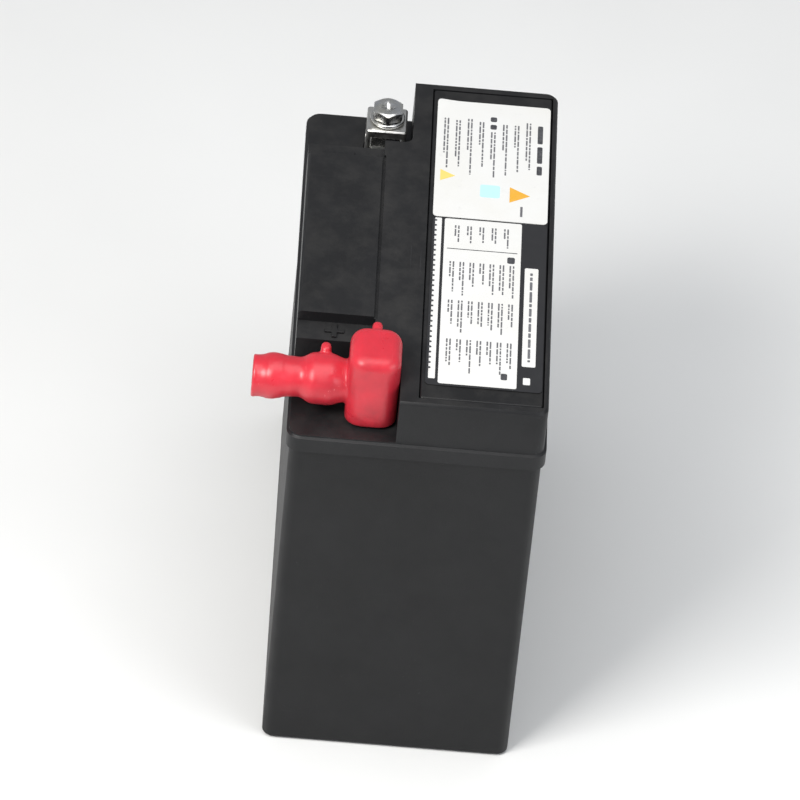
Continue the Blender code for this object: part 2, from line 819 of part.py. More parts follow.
def make_positive_cover(material):
    origin = (TERMINAL_X, TERMINAL_Y, BOOT_BOTTOM)
    cover = add_object("positive_cover", boot_cap(0.0), material, origin, smooth=True)
    add_boolean(cover, "UNION", [boot_sleeve(0.0), *boot_tabs()])
    add_boolean(cover, "DIFFERENCE", [boot_cap(BOOT_WALL), boot_sleeve(BOOT_WALL)])


def main():
    clear_scene()
    materials = make_materials()
    make_case(materials["case_plastic"])
    make_lid(materials["lid_plastic"])
    make_valve_cover(materials["lid_plastic"])
    make_valve_caps(materials["rubber"])
    make_flame_arrestor(materials["porous"])
    make_labels(materials["label"])
    make_cells(materials)
    make_welds(materials["lead"])
    make_terminals(materials)
    make_positive_cover(materials["boot_vinyl"])


main()
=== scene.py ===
"""Looks of the sealed motorcycle battery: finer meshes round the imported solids, and materials."""

import json
import math
import random

import bmesh
import bpy
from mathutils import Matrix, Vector, noise


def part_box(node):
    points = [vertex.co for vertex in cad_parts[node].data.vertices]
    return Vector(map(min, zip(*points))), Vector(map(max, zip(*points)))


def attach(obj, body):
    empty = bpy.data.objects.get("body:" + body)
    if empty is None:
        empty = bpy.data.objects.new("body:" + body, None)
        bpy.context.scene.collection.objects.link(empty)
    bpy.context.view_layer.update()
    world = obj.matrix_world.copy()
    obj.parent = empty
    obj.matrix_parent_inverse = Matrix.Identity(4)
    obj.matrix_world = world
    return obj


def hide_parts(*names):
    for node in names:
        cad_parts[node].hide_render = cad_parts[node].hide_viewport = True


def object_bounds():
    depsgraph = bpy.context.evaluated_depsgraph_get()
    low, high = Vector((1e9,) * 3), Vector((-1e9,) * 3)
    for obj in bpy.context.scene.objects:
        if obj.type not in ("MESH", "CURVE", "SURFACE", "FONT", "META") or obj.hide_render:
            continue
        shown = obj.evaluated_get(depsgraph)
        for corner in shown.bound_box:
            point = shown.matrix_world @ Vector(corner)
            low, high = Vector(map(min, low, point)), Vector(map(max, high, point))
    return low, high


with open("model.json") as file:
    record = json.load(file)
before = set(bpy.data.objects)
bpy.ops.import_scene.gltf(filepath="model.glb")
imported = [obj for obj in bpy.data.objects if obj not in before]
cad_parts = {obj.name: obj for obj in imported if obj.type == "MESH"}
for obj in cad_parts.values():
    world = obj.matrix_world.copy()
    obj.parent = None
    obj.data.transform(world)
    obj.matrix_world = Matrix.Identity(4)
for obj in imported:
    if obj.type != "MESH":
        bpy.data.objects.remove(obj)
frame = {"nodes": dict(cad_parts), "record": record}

CAD_BOX = [list(corner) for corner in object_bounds()]
ROOT = "battery"


# Places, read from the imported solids. WELDS are the places along X of the walls between the cells.


def middle(node):
    low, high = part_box(node)
    return (low + high) / 2


CASE_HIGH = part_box("case")[1]
LID_LOW, LID_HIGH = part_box("lid")
BOOT_LOW, BOOT_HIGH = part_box("positive_cover")
POSITIVE = middle("positive_terminal")
WELDS = [middle(f"intercell_weld_{i}").x for i in range(1, 6)]
CELL_PITCH = WELDS[1] - WELDS[0]


# Materials. Noise scales are per metre, and bump distances are metres.

DUST = (0.105, 0.100, 0.092)
DUST_AMOUNT = 0.17
DUST_DULLING = 0.22 * DUST_AMOUNT / 0.35
# Deep red of the painted shade on the boot's lower part.
PAINTED_SHADE_RED = (0.10, 0.012, 0.014)
SCUFFED_RED = (0.95, 0.36, 0.36)
# Height from the boot's bottom over which that painted shade fades out.
PAINTED_SHADE_HEIGHT = 0.010
SINK_SHARPNESS = 26.0
SINK_DEPTH = 0.00016
GRAIN_DEPTH = 0.00003
WARP_DEPTH = 0.00010


class Finish:
    """A Principled material with short ways to add nodes. Its textures read object coordinates."""

    def __init__(self, name, colour, roughness, metallic=0.0, **uniform):
        self.material = bpy.data.materials.new(name)
        self.material.use_nodes = True
        self.tree = self.material.node_tree
        self.shader = self.tree.nodes["Principled BSDF"]
        self.shader.inputs["Base Color"].default_value = (*colour, 1.0)
        self.shader.inputs["Roughness"].default_value = roughness
        self.shader.inputs["Metallic"].default_value = metallic
        for socket, value in uniform.items():
            self.shader.inputs[socket.replace("_", " ")].default_value = value
        self.material.diffuse_color = (*colour, 1.0)
        self.base = colour
        self.bumped = None
        self.where = self.node("ShaderNodeTexCoord").outputs["Object"]

    def node(self, kind, inputs=None, **settings):
        made = self.tree.nodes.new(kind)
        for key, value in settings.items():
            setattr(made, key, value)
        for key, value in (inputs or {}).items():
            if isinstance(value, bpy.types.NodeSocket):
                self.tree.links.new(value, made.inputs[key])
            else:
                made.inputs[key].default_value = value
        return made

    def math(self, operation, a, b=0.0):
        return self.node("ShaderNodeMath", {0: a, 1: b}, operation=operation).outputs[0]

    def stretched(self, x, y, z):
        """Object coordinates scaled by x, y and z, for a pattern that runs one way."""
        return self.node("ShaderNodeMapping", {"Vector": self.where, "Scale": (x, y, z)}).outputs[0]

    def noise(self, scale, detail=3.0, roughness=0.55, where=None):
        inputs = {"Vector": where or self.where, "Scale": scale}
        inputs |= {"Detail": detail, "Roughness": roughness}
        return self.node("ShaderNodeTexNoise", inputs).outputs["Fac"]

    def cells(self, scale):
        inputs = {"Vector": self.where, "Scale": scale}
        return self.node("ShaderNodeTexVoronoi", inputs).outputs["Distance"]

    def span(self, value, low, high, to_low=0.0, to_high=1.0):
        inputs = {0: value, 1: low, 2: high, 3: to_low, 4: to_high}
        return self.node("ShaderNodeMapRange", inputs, clamp=True).outputs[0]

    def mix(self, factor, a, b):
        """Two colours, each a socket or an (r, g, b), mixed by factor."""
        made = self.node("ShaderNodeMix", {0: factor}, data_type="RGBA")
        for index, value in ((6, a), (7, b)):
            if isinstance(value, bpy.types.NodeSocket):
                self.tree.links.new(value, made.inputs[index])
            else:
                made.inputs[index].default_value = (*value, 1.0)
        return made.outputs[2]

    def axis(self, name):
        return self.node("ShaderNodeSeparateXYZ", {0: self.where}).outputs[name]

    def upward(self):
        """1 on faces that look up, 0 on the sides."""
        normal = self.node("ShaderNodeTexCoord").outputs["Normal"]
        z = self.node("ShaderNodeSeparateXYZ", {0: normal}).outputs["Z"]
        return self.span(z, 0.75, 0.98)

    def colour(self, socket):
        self.tree.links.new(socket, self.shader.inputs["Base Color"])

    def rough(self, socket):
        self.tree.links.new(socket, self.shader.inputs["Roughness"])

    def bump(self, height, distance, strength=1.0):
        """Adds relief of that depth in metres on top of what is there."""
        inputs = {"Height": height, "Distance": distance, "Strength": strength}
        if self.bumped:
            inputs["Normal"] = self.bumped
        self.bumped = self.node("ShaderNodeBump", inputs).outputs[0]
        self.tree.links.new(self.bumped, self.shader.inputs["Normal"])


def lighter(colour, factor):
    return tuple(min(1.0, c * factor) for c in colour)


def scratches(f, direction, amount):
    """Thin lines along one way, 1 where a line is."""
    lines = f.noise(1.0, 2.0, 0.5, f.stretched(*direction))
    patches = f.span(f.noise(55.0, 2.0), 0.52, 0.66)
    return f.math("MULTIPLY", f.span(lines, 0.70 - amount, 0.76 - amount), patches)


def moulded_plastic(name, colour, roughness, sinks=False):
    """Black polypropylene with a fine moulded grain, handling scratches, and dust on what looks up."""
    f = Finish(name, colour, roughness, Specular_IOR_Level=0.30)
    mottle = f.span(f.noise(38.0, 4.0), 0.3, 0.7)
    body = f.mix(mottle, lighter(colour, 0.82), lighter(colour, 1.25))
    marks = f.math("MAXIMUM", scratches(f, (30, 1500, 900), 0.02), scratches(f, (1300, 40, 800), 0.0))
    body = f.mix(f.math("MULTIPLY", marks, 0.35), body, lighter(colour, 4.5))
    settled = f.math("MULTIPLY", f.upward(), f.span(f.noise(90.0, 6.0, 0.7), 0.42, 0.75, 0.15, 1.0))
    specks = f.span(f.cells(420.0), 0.10, 0.04, 0.0, 0.55)
    settled = f.math("MAXIMUM", settled, f.math("MULTIPLY", specks, f.upward()))
    body = f.mix(f.math("MULTIPLY", settled, DUST_AMOUNT), body, DUST)
    f.colour(body)
    dulled = f.math("MULTIPLY", settled, DUST_DULLING)
    patchy = f.span(f.noise(120.0, 3.0), 0.3, 0.7, roughness - 0.04, roughness + 0.04)
    f.rough(f.math("ADD", patchy, dulled))
    f.bump(f.noise(2600.0, 2.0, 0.6), GRAIN_DEPTH)
    f.bump(f.noise(28.0, 2.0), WARP_DEPTH)
    f.bump(marks, 0.00002)
    if sinks:
        from_wall = f.math("SUBTRACT", f.axis("X"), WELDS[2])
        turn = f.math("MULTIPLY", from_wall, math.tau / CELL_PITCH)
        line = f.math("POWER", f.math("MAXIMUM", f.math("COSINE", turn), 0.0), SINK_SHARPNESS)
        f.bump(f.math("MULTIPLY", line, -1.0), SINK_DEPTH)
    return f.material


def paper_label(name, colour):
    """Laminated paper: fine fibre under a thin clear film, a few dust marks and a faint yellowing."""
    f = Finish(name, colour, 0.38, Coat_Weight=0.25, Coat_Roughness=0.22)
    aged = f.span(f.noise(30.0, 5.0, 0.65), 0.35, 0.75)
    yellowed = tuple(c * k for c, k in zip(colour, (0.93, 0.91, 0.85)))
    body = f.mix(f.math("MULTIPLY", aged, 0.55), colour, yellowed)
    dark_patches = f.span(f.noise(160.0, 6.0, 0.75), 0.60, 0.82)
    body = f.mix(f.math("MULTIPLY", dark_patches, 0.30), body, lighter(colour, 0.55))
    f.colour(body)
    f.rough(f.span(f.noise(220.0, 3.0), 0.3, 0.7, 0.30, 0.48))
    f.bump(f.noise(900.0, 3.0, 0.6), 0.000015)
    f.bump(f.noise(70.0, 2.0), 0.00008)
    return f.material


def printed_ink(name, colour, fade=0.25):
    """Ink on the label, a little uneven and worn."""
    f = Finish(name, colour, 0.42, Coat_Weight=0.2, Coat_Roughness=0.25)
    uneven = f.span(f.noise(700.0, 4.0, 0.7), 0.40, 0.75)
    worn = tuple(0.6 * c + 0.32 for c in colour)
    f.colour(f.mix(f.math("MULTIPLY", uneven, fade), colour, worn))
    f.rough(f.span(f.noise(300.0, 2.0), 0.3, 0.7, 0.36, 0.50))
    f.bump(f.noise(900.0, 3.0), 0.00001)
    return f.material


def soft_vinyl(name, colour):
    """Red dip-moulded vinyl: a little translucent, satin, with orange peel, and painted shade as
    darker red patches near its bottom rim.
    """
    f = Finish(
        name,
        colour,
        0.34,
        Subsurface_Weight=0.22,
        Subsurface_Radius=(0.0040, 0.0008, 0.0008),
        Subsurface_Scale=1.0,
        Specular_IOR_Level=0.55,
    )
    cloud = f.span(f.noise(75.0, 4.0), 0.3, 0.72)
    body = f.mix(cloud, lighter(colour, 0.80), lighter(colour, 1.15))
    # Painted shade: the red darkens towards the boot's bottom rim in noise patches, standing in for
    # the shade there.
    low = f.span(f.axis("Z"), BOOT_LOW.z, BOOT_LOW.z + PAINTED_SHADE_HEIGHT, 0.55, 0.0)
    dark_patches = f.math("MULTIPLY", f.span(f.noise(240.0, 6.0, 0.7), 0.40, 0.70), low)
    body = f.mix(dark_patches, body, PAINTED_SHADE_RED)
    scuffs = scratches(f, (60, 1400, 700), 0.03)
    body = f.mix(f.math("MULTIPLY", scuffs, 0.35), body, SCUFFED_RED)
    f.colour(body)
    f.rough(f.span(f.noise(130.0, 3.0), 0.3, 0.7, 0.27, 0.44))
    f.bump(f.noise(1100.0, 2.0), 0.00002)
    f.bump(f.noise(190.0, 2.0), 0.00010)
    return f.material


def metal(name, colour, roughness, tint, grain, relief):
    """Bare or plated metal: uneven tone, dull spots, and a fine relief."""
    f = Finish(name, colour, roughness, 1.0)
    cloud = f.span(f.noise(260.0, 5.0, 0.6), 0.32, 0.72)
    spots = f.span(f.noise(900.0, 4.0, 0.7), 0.58, 0.78)
    body = f.mix(cloud, colour, tint)
    f.colour(f.mix(f.math("MULTIPLY", spots, 0.6), body, lighter(colour, 0.45)))
    dull = f.math("MULTIPLY", spots, 0.25)
    patchy = f.span(f.noise(420.0, 3.0), 0.3, 0.7, roughness - 0.08, roughness + 0.10)
    f.rough(f.math("ADD", patchy, dull))
    f.bump(f.noise(grain, 3.0, 0.6), relief)
    f.bump(f.noise(500.0, 2.0), relief * 2)
    return f.material


def rough_solid(name, colour, second, scale, relief, roughness):
    """A dull material of two tones with a grainy surface."""
    f = Finish(name, colour, roughness)
    tone = f.span(f.noise(scale, 6.0, 0.7), 0.35, 0.68)
    f.colour(f.mix(tone, colour, second))
    f.rough(f.span(f.noise(scale * 1.7, 3.0), 0.3, 0.7, roughness - 0.08, min(1.0, roughness + 0.08)))
    f.bump(f.noise(scale * 2.5, 5.0, 0.7), relief)
    return f.material


def plate_paste(name):
    """Dried active material pressed into an expanded grid, whose diamonds show through."""
    f = Finish(name, (0.075, 0.035, 0.026), 0.88)
    diagonals = []
    for sign in (1.0, -1.0):
        across = f.math("MULTIPLY", f.axis("Y"), sign * 700.0)
        slope = f.math("ADD", across, f.math("MULTIPLY", f.axis("Z"), 900.0))
        diagonals.append(f.math("ABSOLUTE", f.math("SINE", slope)))
    grid = f.span(f.math("MINIMUM", *diagonals), 0.10, 0.22, 1.0, 0.0)
    crust = f.span(f.noise(700.0, 6.0, 0.75), 0.35, 0.7)
    body = f.mix(crust, (0.055, 0.026, 0.020), (0.130, 0.066, 0.045))
    f.colour(f.mix(f.math("MULTIPLY", grid, 0.5), body, (0.17, 0.16, 0.15)))
    f.rough(f.span(crust, 0.0, 1.0, 0.78, 0.95))
    f.bump(grid, 0.00012)
    f.bump(f.noise(1500.0, 4.0), 0.00006)
    return f.material


def glass_fibre(name):
    """White absorbent mat of fine crossing fibres."""
    f = Finish(name, (0.80, 0.80, 0.77), 0.95, Sheen_Weight=0.3)
    along = f.noise(1.0, 3.0, 0.7, f.stretched(900, 260, 2600))
    across = f.noise(1.0, 3.0, 0.7, f.stretched(900, 2600, 260))
    fibre = f.math("MAXIMUM", along, across)
    f.colour(f.mix(f.span(fibre, 0.45, 0.72), (0.66, 0.66, 0.63), (0.88, 0.88, 0.86)))
    f.rough(f.span(fibre, 0.4, 0.8, 0.98, 0.86))
    f.bump(fibre, 0.00010)
    return f.material


def floor_finish():
    f = Finish("floor", (0.83, 0.83, 0.82), 0.60)
    f.colour(f.mix(f.span(f.noise(4.0, 4.0), 0.3, 0.7), (0.81, 0.81, 0.80), (0.85, 0.85, 0.84)))
    f.rough(f.span(f.noise(9.0, 3.0), 0.3, 0.7, 0.55, 0.66))
    f.bump(f.noise(350.0, 3.0), 0.00004)
    return f.material


def make_finishes():
    """Every finish by its short name. The names in the record's material slots are all here."""
    f = {}
    f["case_plastic"] = moulded_plastic(
        "case_plastic_fine", (0.0068, 0.0070, 0.0078), 0.48, sinks=True
    )
    f["lid_plastic"] = moulded_plastic("lid_plastic_fine", (0.0092, 0.0094, 0.0104), 0.44)
    f["cover_plastic"] = moulded_plastic("cover_plastic_fine", (0.0078, 0.0080, 0.0089), 0.42)
    f["label"] = paper_label("label_paper", (0.74, 0.74, 0.728))
    f["label_black"] = paper_label("label_black", (0.016, 0.016, 0.018))
    f["ink_dark"] = printed_ink("ink_dark", (0.035, 0.036, 0.042))
    f["ink_grey"] = printed_ink("ink_grey", (0.12, 0.12, 0.13))
    f["ink_amber"] = printed_ink("ink_amber", (0.74, 0.38, 0.030), 0.12)
    f["ink_yellow"] = printed_ink("ink_yellow", (0.80, 0.62, 0.16), 0.12)
    f["ink_blue"] = printed_ink("ink_blue", (0.48, 0.76, 0.86), 0.10)
    f["rubber"] = rough_solid(
        "valve_rubber", (0.018, 0.018, 0.019), (0.034, 0.034, 0.036), 500.0, 0.00003, 0.78
    )
    f["boot_vinyl"] = soft_vinyl("boot_vinyl_fine", (0.57, 0.024, 0.042))
    f["lead"] = metal("cast_lead", (0.24, 0.25, 0.27), 0.50, (0.36, 0.36, 0.38), 900.0, 0.00005)
    f["paste"] = plate_paste("plate_paste")
    f["glass_mat"] = glass_fibre("glass_mat_fibre")
    f["tinned"] = metal(
        "tinned_terminal", (0.60, 0.60, 0.58), 0.34, (0.72, 0.71, 0.68), 1400.0, 0.00003
    )
    f["zinc"] = metal("zinc_plate", (0.66, 0.67, 0.69), 0.24, (0.72, 0.70, 0.62), 2200.0, 0.00001)
    f["epoxy"] = rough_solid(
        "post_epoxy", (0.012, 0.012, 0.014), (0.026, 0.026, 0.030), 260.0, 0.00004, 0.28
    )
    f["porous"] = rough_solid(
        "porous_disc", (0.62, 0.60, 0.55), (0.80, 0.78, 0.72), 1800.0, 0.00015, 0.95
    )
    return f


# Meshes.


def arc(centre, radius, start, end, steps):
    angles = (start + (end - start) * i / steps for i in range(steps + 1))
    return [(centre[0] + radius * math.cos(a), centre[1] + radius * math.sin(a)) for a in angles]


def rounded_rectangle(half_x, half_y, radius, steps=8):
    points = []
    for quarter, (sx, sy) in enumerate(((1, 1), (-1, 1), (-1, -1), (1, -1))):
        centre = (sx * (half_x - radius), sy * (half_y - radius))
        points += arc(centre, radius, quarter * math.pi / 2, (quarter + 1) * math.pi / 2, steps)
    return points


def circle(radius, steps):
    angles = [math.tau * i / steps for i in range(steps)]
    return [(radius * math.cos(a), radius * math.sin(a)) for a in angles]


def at_height(outline, z, centre):
    return [(x + centre[0], y + centre[1], z) for x, y in outline]


def loft(loops, ring=False):
    """A closed mesh through loops of equally many points, capped, or joined end to end as a ring."""
    mesh = bmesh.new()
    rows = [[mesh.verts.new(point) for point in loop] for loop in loops]
    pairs = list(zip(rows, rows[1:]))
    if ring:
        pairs.append((rows[-1], rows[0]))
    else:
        mesh.faces.new(list(reversed(rows[0])))
        mesh.faces.new(rows[-1])
    for low, high in pairs:
        count = len(low)
        for i in range(count):
            mesh.faces.new((low[i], low[(i + 1) % count], high[(i + 1) % count], high[i]))
    bmesh.ops.recalc_face_normals(mesh, faces=mesh.faces)
    return mesh


BEVEL_ANGLE = 32.0
FLAT_ANGLE = 0.5


def add_piece(name, mesh, finish, smooth_angle=35.0):
    """An object in the row frame from a bmesh."""
    data = bpy.data.meshes.new(name)
    mesh.to_mesh(data)
    mesh.free()
    data.shade_smooth()
    data.set_sharp_from_angle(angle=math.radians(smooth_angle))
    data.materials.append(finish)
    obj = bpy.data.objects.new(name, data)
    bpy.context.scene.collection.objects.link(obj)
    return obj


def settle(obj, body, slot, *nodes):
    """The piece rides on the body and stands for the nodes given. The slot is not used."""
    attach(obj, body)
    if nodes:
        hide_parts(*nodes)
    return obj


def add_bevel(obj, width, segments=3):
    bevel = obj.modifiers.new("edge", "BEVEL")
    bevel.width = width
    bevel.segments = segments
    bevel.limit_method = "ANGLE"
    bevel.angle_limit = math.radians(BEVEL_ANGLE)
    bevel.miter_outer = "MITER_ARC"
    bevel.use_clamp_overlap = True
    bevel.harden_normals = True


def bake_modifiers(obj):
    """Puts the evaluated mesh in place of the object's own."""
    graph = bpy.context.evaluated_depsgraph_get()
    made = bpy.data.meshes.new_from_object(obj.evaluated_get(graph))
    obj.modifiers.clear()
    obj.data = made
    return obj


def refined(node, name, finish, width):
    """A copy of a solid with its flat faces whole again and its edges rounded."""
    mesh = bmesh.new()
    mesh.from_mesh(frame["nodes"][node].data)
    bmesh.ops.remove_doubles(mesh, verts=mesh.verts, dist=1e-6)
    flat = math.radians(FLAT_ANGLE)
    bmesh.ops.dissolve_limit(mesh, angle_limit=flat, verts=mesh.verts, edges=mesh.edges)
    obj = add_piece(name, mesh, finish)
    add_bevel(obj, width)
    return obj


# Case and lid. The widths are the rounding of each piece's moulded edges.

CASE_EDGE = 0.0006
LID_EDGE = 0.00045
COVER_EDGE = 0.0003
TERMINAL_EDGE = 0.00025
NUT_EDGE = 0.0004


def make_case(finishes):
    case = refined("case", "case_shell", finishes["case_plastic"], CASE_EDGE)
    settle(case, ROOT, "case_plastic", "case")


def make_lid(finishes):
    lid = refined("lid", "lid_shell", finishes["lid_plastic"], LID_EDGE)
    settle(lid, ROOT, "lid_plastic", "lid")
    cover = refined("valve_cover", "valve_cover_plate", finishes["cover_plastic"], COVER_EDGE)
    settle(cover, ROOT, "lid_plastic", "valve_cover")


BEAD_RADIUS = 0.00032
BEAD_OFFSET = 0.0003
BEAD_CORNER = 0.0042
BEAD_STEP = 0.0012
BEAD_SIDES = 8
BEAD_SWELL_SCALE = 260


def make_seal_bead(finishes):
    """The thin uneven bead of plastic that the heat seal leaves under the lid's flange."""
    path = []
    straight = rounded_rectangle(CASE_HIGH.x + BEAD_OFFSET, CASE_HIGH.y + BEAD_OFFSET, BEAD_CORNER, 6)
    for (x0, y0), (x1, y1) in zip(straight, straight[1:] + straight[:1]):
        length = math.hypot(x1 - x0, y1 - y0)
        steps = max(1, int(length / BEAD_STEP))
        path += [(x0 + (x1 - x0) * i / steps, y0 + (y1 - y0) * i / steps) for i in range(steps)]
    loops = []
    z = LID_LOW.z
    for i, (x, y) in enumerate(path):
        before = Vector((*path[i - 1], 0.0))
        after = Vector((*path[(i + 1) % len(path)], 0.0))
        out = (after - before).normalized().cross(Vector((0, 0, 1)))
        uneven = noise.noise(Vector((x * BEAD_SWELL_SCALE, y * BEAD_SWELL_SCALE, 3.0)))
        swell = BEAD_RADIUS * (0.75 + 0.45 * uneven)
        loop = []
        for step in range(BEAD_SIDES):
            angle = math.tau * step / BEAD_SIDES
            reach = out * (swell * math.cos(angle))
            loop.append((x + reach.x, y + reach.y, z + swell * math.sin(angle)))
        loops.append(loop)
    bead = add_piece("seal_bead", loft(loops, ring=True), finishes["case_plastic"])
    settle(bead, ROOT, "case_plastic")


MARK_ARM = 0.0033
MARK_HALF_WIDTH = 0.0009
MARK_RISE = 0.0007
MARK_ROOT = 0.0002
MARK_FROM_END = 0.0398
MARK_Y = -0.0300
MARK_STEP_DROP = 0.0040


def make_polarity_marks(finishes):
    """Raised plus and minus signs on the low steps beside the platform."""
    arm = MARK_ARM
    half = MARK_HALF_WIDTH
    step_z = LID_HIGH.z - MARK_STEP_DROP
    plus = [
        (half, half), (half, arm), (-half, arm), (-half, half), (-arm, half), (-arm, -half),
        (-half, -half), (-half, -arm), (half, -arm), (half, -half), (arm, -half), (arm, half),
    ]
    minus = [(half, arm), (-half, arm), (-half, -arm), (half, -arm)]
    for name, outline, side in (("plus_mark", plus, 1), ("minus_mark", minus, -1)):
        place = (side * (LID_HIGH.x - MARK_FROM_END), MARK_Y)
        heights = (step_z - MARK_ROOT, step_z + MARK_RISE)
        loops = [at_height(outline, z, place) for z in heights]
        mark = add_piece(name, loft(loops), finishes["lid_plastic"])
        add_bevel(mark, 0.0002, 2)
        settle(mark, ROOT, "lid_plastic")


# Labels: thin sheets that are not quite flat, with plain shapes in place of any wording.
# LABEL_Z is the height of the sheets' underside, and each level is measured from it.


SHEET = 0.00020
PANEL = 0.00003
INK = 0.000025
LABEL_SINK = 0.0001
PANEL_SINK = 0.00001
INK_SINK = 0.000005
LABEL_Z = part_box("notice_label")[0].z - LABEL_SINK
PANEL_LEVEL = SHEET - PANEL_SINK
TEXT_LEVEL = PANEL_LEVEL + PANEL - INK_SINK
SHEET_CORNER = 0.0016
SHEET_STEP = 0.003
PRINT_HEIGHT = 0.00055
PRINT_PITCH = 0.0011
RIPPLE_HEIGHT = 0.00005
RIPPLE_SCALE = 55
CURL_HEIGHT = 0.0006
CURL_REACH = 0.0045


def label_lift(x, y):
    """How far the label stands off the cover at a point: a slow ripple, and one corner that curls."""
    ripple = RIPPLE_HEIGHT * noise.noise(Vector((x * RIPPLE_SCALE, y * RIPPLE_SCALE, 0.0)))
    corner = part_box("notice_label")[0]
    off = (x - corner.x) ** 2 + (y - corner.y) ** 2
    curl = CURL_HEIGHT * math.exp(-(off / CURL_REACH**2))
    return ripple + curl + RIPPLE_HEIGHT


def graded(low, high, step, edge):
    """Places from low to high, closer together near the ends."""
    inner = max(2, round((high - low - 2 * edge) / step))
    ends = [0.0, 0.15, 0.3, 0.5, 0.7, 0.85, 1.0]
    first = [low + edge * e for e in ends]
    last = [high - edge * e for e in reversed(ends)]
    between = [low + edge + (high - low - 2 * edge) * i / inner for i in range(1, inner)]
    return first + between + last


def sheet_mesh(low, high, radius, level, thickness):
    """A thin sheet with round corners that follows the label's lift. Its underside is at level."""
    (x0, y0), (x1, y1) = low, high
    xs = graded(x0, x1, SHEET_STEP, radius)
    ys = graded(y0, y1, SHEET_STEP, radius)
    mesh = bmesh.new()
    layers = []
    for rise in (level, level + thickness):
        rows = []
        for x in xs:
            row = []
            for y in ys:
                px, py = x, y
                cx = min(max(x, x0 + radius), x1 - radius)
                cy = min(max(y, y0 + radius), y1 - radius)
                off = max(abs(x - cx), abs(y - cy))
                length = math.hypot(x - cx, y - cy)
                if length > 0:
                    px = cx + (x - cx) * off / length
                    py = cy + (y - cy) * off / length
                row.append(mesh.verts.new((px, py, LABEL_Z + rise + label_lift(px, py))))
            rows.append(row)
        layers.append(rows)
    under, top = layers
    nx, ny = len(xs), len(ys)
    for i in range(nx - 1):
        for j in range(ny - 1):
            mesh.faces.new((top[i][j], top[i + 1][j], top[i + 1][j + 1], top[i][j + 1]))
            mesh.faces.new((under[i][j], under[i][j + 1], under[i + 1][j + 1], under[i + 1][j]))
    rim = [(i, 0) for i in range(nx - 1)] + [(nx - 1, j) for j in range(ny - 1)]
    rim += [(i, ny - 1) for i in range(nx - 1, 0, -1)] + [(0, j) for j in range(ny - 1, 0, -1)]
    for (i, j), (k, m) in zip(rim, rim[1:] + rim[:1]):
        mesh.faces.new((under[i][j], under[k][m], top[k][m], top[i][j]))
    bmesh.ops.recalc_face_normals(mesh, faces=mesh.faces)
    return mesh


def print_mesh(outlines, level):
    """Thin closed patches, one for each outline, that follow the label's lift."""
    mesh = bmesh.new()
    for outline in outlines:
        low, high = [], []
        for x, y in outline:
            z = LABEL_Z + level + label_lift(x, y)
            low.append(mesh.verts.new((x, y, z)))
            high.append(mesh.verts.new((x, y, z + INK)))
        count = len(outline)
        mesh.faces.new(list(reversed(low)))
        mesh.faces.new(high)
        for i in range(count):
            mesh.faces.new((low[i], low[(i + 1) % count], high[(i + 1) % count], high[i]))
    bmesh.ops.recalc_face_normals(mesh, faces=mesh.faces)
    return mesh


def bar(x, y, length, height):
    """A bar that starts at x, runs along X, and is centred on y. Its corners are slightly round."""
    radius = min(length, height) * 0.25
    outline = rounded_rectangle(length / 2, height / 2, radius, 2)
    return [(u + x + length / 2, v + y) for u, v in outline]


def word_bars(rng, x0, x1, y, height):
    """A line of plain bars with word-like lengths and spaces."""
    bars = []
    x = x0
    while x < x1 - height:
        length = min(rng.uniform(1.5, 7.0) * height, x1 - x)
        bars.append(bar(x, y, length, height))
        x += length + rng.uniform(0.7, 1.0) * height
    return bars


def small_print(rng, x0, x1, y):
    """Two rows of fine bars centred on y, the second one shorter."""
    first = word_bars(rng, x0, x1, y + PRINT_PITCH / 2, PRINT_HEIGHT)
    end = x0 + (x1 - x0) * rng.uniform(0.45, 0.9)
    return first + word_bars(rng, x0, end, y - PRINT_PITCH / 2, PRINT_HEIGHT)


def make_prints(prints, finishes):
    """One piece for each ink of each label."""
    for name, outlines, level, finish in prints:
        settle(add_piece(name, print_mesh(outlines, level), finishes[finish]), ROOT, "label")


def make_sheet(label, name, finish):
    """The paper sheet of a label, and its lowest and highest corners."""
    low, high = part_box(label)
    mesh = sheet_mesh((low.x, low.y), (high.x, high.y), SHEET_CORNER, 0.0, SHEET)
    settle(add_piece(name, mesh, finish), ROOT, "label", label)
    return low, high


def triangle(x, y, size):
    half_base = size * 0.55
    return [(x + half_base, y - size / 2), (x, y + size * 0.42), (x - half_base, y - size / 2)]


# The notice label. Places along X are metres from its far end, and those along Y shares of its width.
NOTICE_LINES = 9
NOTICE_FIRST_LINE = 0.085
NOTICE_LINES_SPAN = 0.83
NOTICE_STARTS = (0.0085, 0.0115)
NOTICE_ENDS = (0.034, 0.041)
NOTICE_HEADING_EXTRA = 0.004
NOTICE_HEADING_HEIGHT = 0.0018
NOTICE_MIDDLE_START = 0.0158
SQUARES_X = 0.0075
SQUARES_PITCH = 0.0042
SQUARE_LENGTH = 0.0026
SQUARE_HEIGHT = 0.0022
CODE_FROM = 0.0555
CODE_TO = 0.0610
CODE_Y = 0.77
CODE_HEIGHT = 0.0008
AMBER = (0.0495, 0.76, 0.0076)
YELLOW = (0.0415, 0.12, 0.0056)
BLUE_X = 0.0485
BLUE_Y = 0.49
BLUE_HALF = 0.0034
BLUE_CORNER = 0.0008


